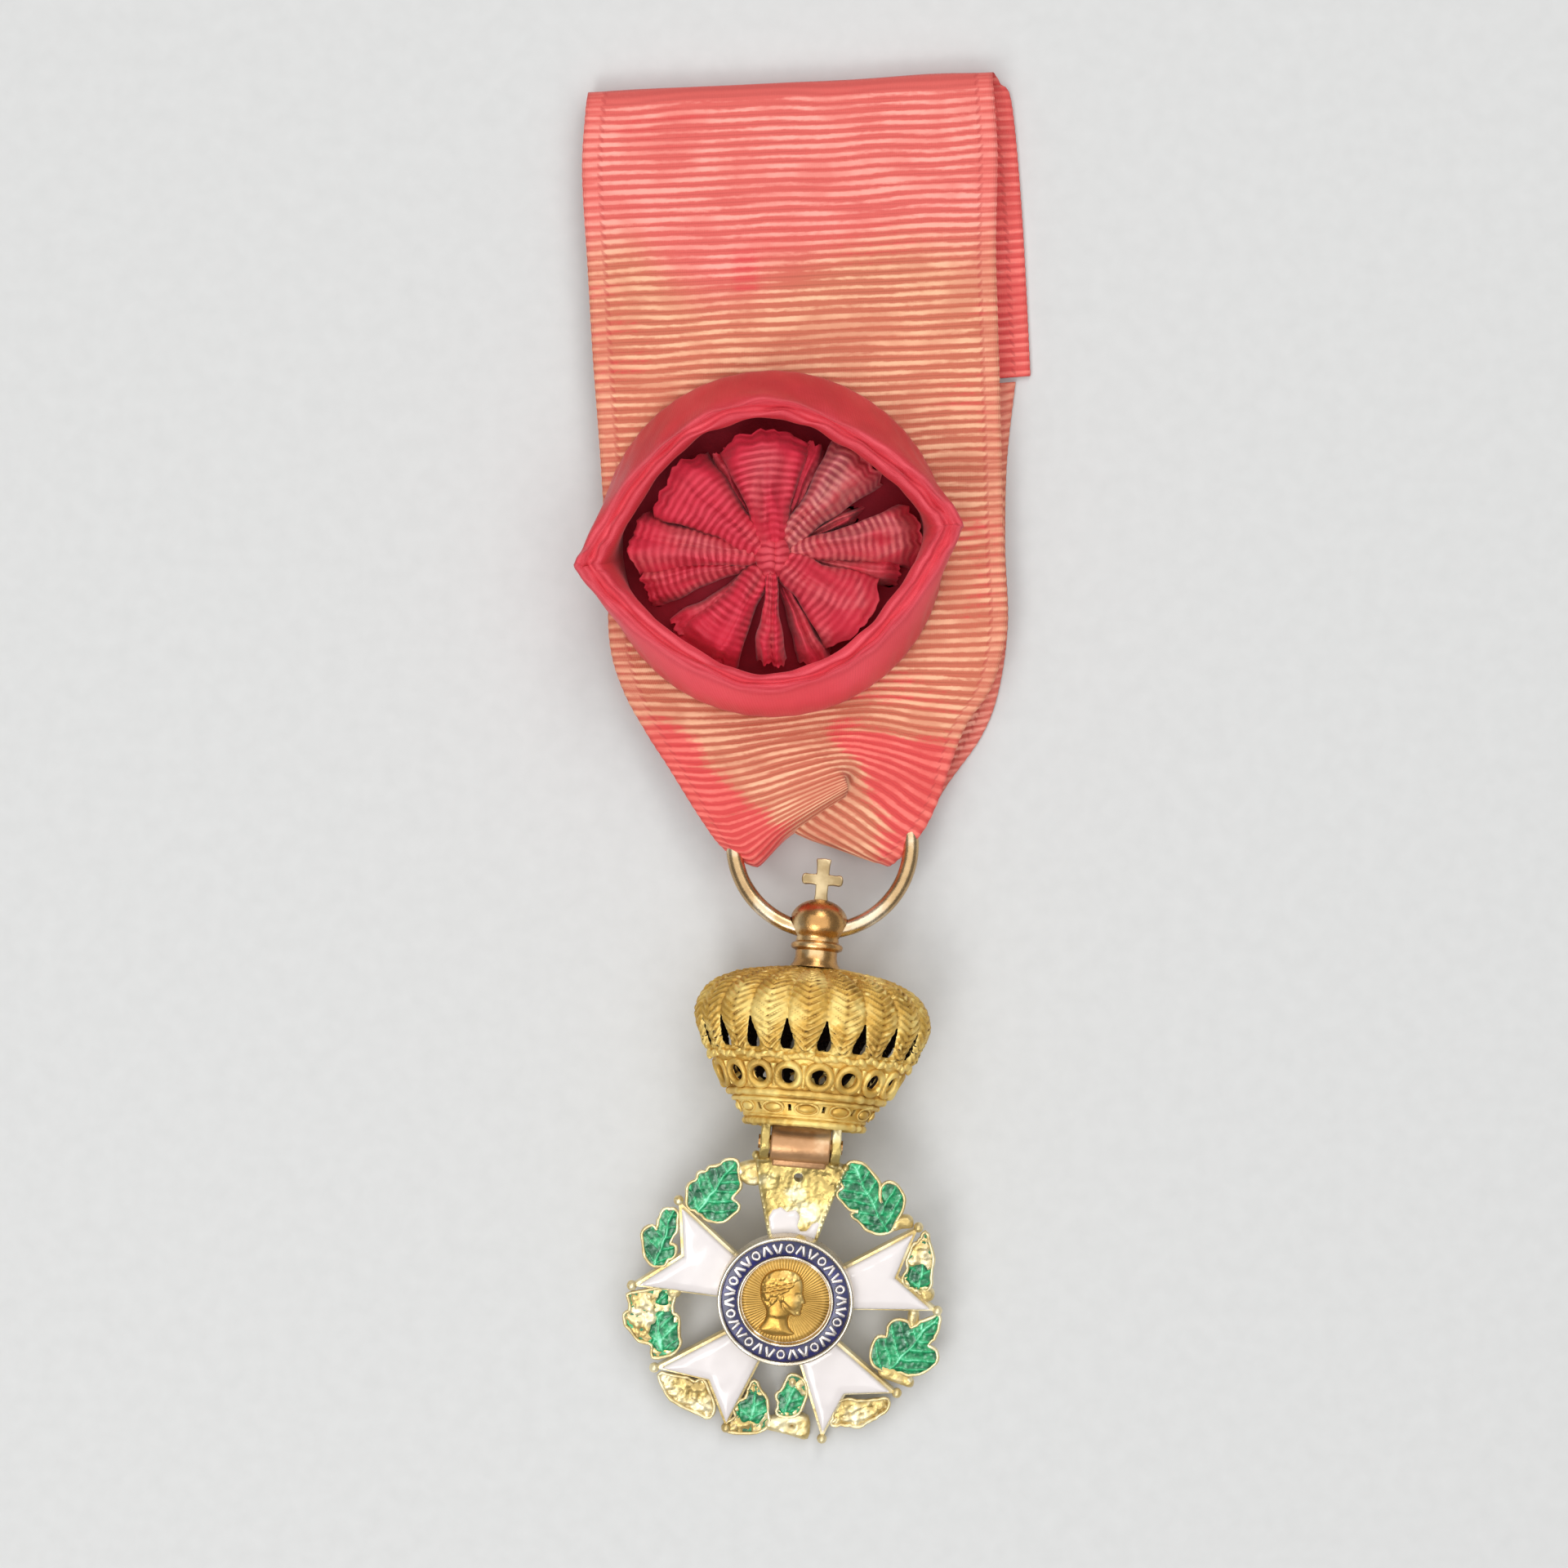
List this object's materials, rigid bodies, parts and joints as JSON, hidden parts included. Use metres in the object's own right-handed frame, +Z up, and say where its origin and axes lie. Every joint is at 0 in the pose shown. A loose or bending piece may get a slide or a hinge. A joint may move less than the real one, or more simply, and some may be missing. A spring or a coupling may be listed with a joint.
{
  "type": "miniature order badge",
  "caption": "Miniature badge of an order: enamelled star with wreath and medallion, hinged under a pierced crown and hung by a wire ring from a folded silk ribbon with a rosette.",
  "frame": {"origin": "middle of the badge's outline on the surface that it lies on", "axes": "+X across the ribbon, +Y along the ribbon from the star to the fold, +Z up from the surface, out of the badge's face"},
  "size_m": [0.0262, 0.0793, 0.0082],
  "materials": {
    "ribbon_silk": "ribbed silk",
    "rosette_silk": "ribbed silk",
    "gold": "worn gold",
    "pale_gold": "polished pale gold",
    "rose_gold": "polished rose gold",
    "white_enamel": "glossy",
    "green_enamel": "glossy translucent",
    "blue_enamel": "glossy"
  },
  "bodies": {
    "root": {"ribbon": "ribbon_silk", "rosette_cup": "rosette_silk", "rosette_petals": "rosette_silk", "ring": "pale_gold", "finial": "rose_gold", "crown": "gold", "crown_hinge": "gold", "hinge_pin": "rose_gold"},
    "star": {"star_plate": "gold", "medallion": "gold", "medallion_enamel": "blue_enamel", "back_boss": "gold", "arm_enamel_1": "white_enamel", "arm_enamel_2": "white_enamel", "arm_enamel_3": "white_enamel", "arm_enamel_4": "white_enamel", "arm_enamel_5": "white_enamel", "leaf_enamel_1": "green_enamel", "leaf_enamel_2": "green_enamel", "leaf_enamel_3": "green_enamel", "leaf_enamel_4": "green_enamel", "leaf_enamel_5": "green_enamel", "leaf_enamel_6": "green_enamel", "leaf_enamel_7": "green_enamel", "leaf_enamel_8": "green_enamel"}
  },
  "joints": [
    {"name": "star_hinge", "type": "hinge", "parent": "root", "child": "star", "pos_m": [-0.00025, -0.02191, 0.00483], "axis": [-0.9965, 0.0837, 0], "range_deg": [0, 100]}
  ]
}
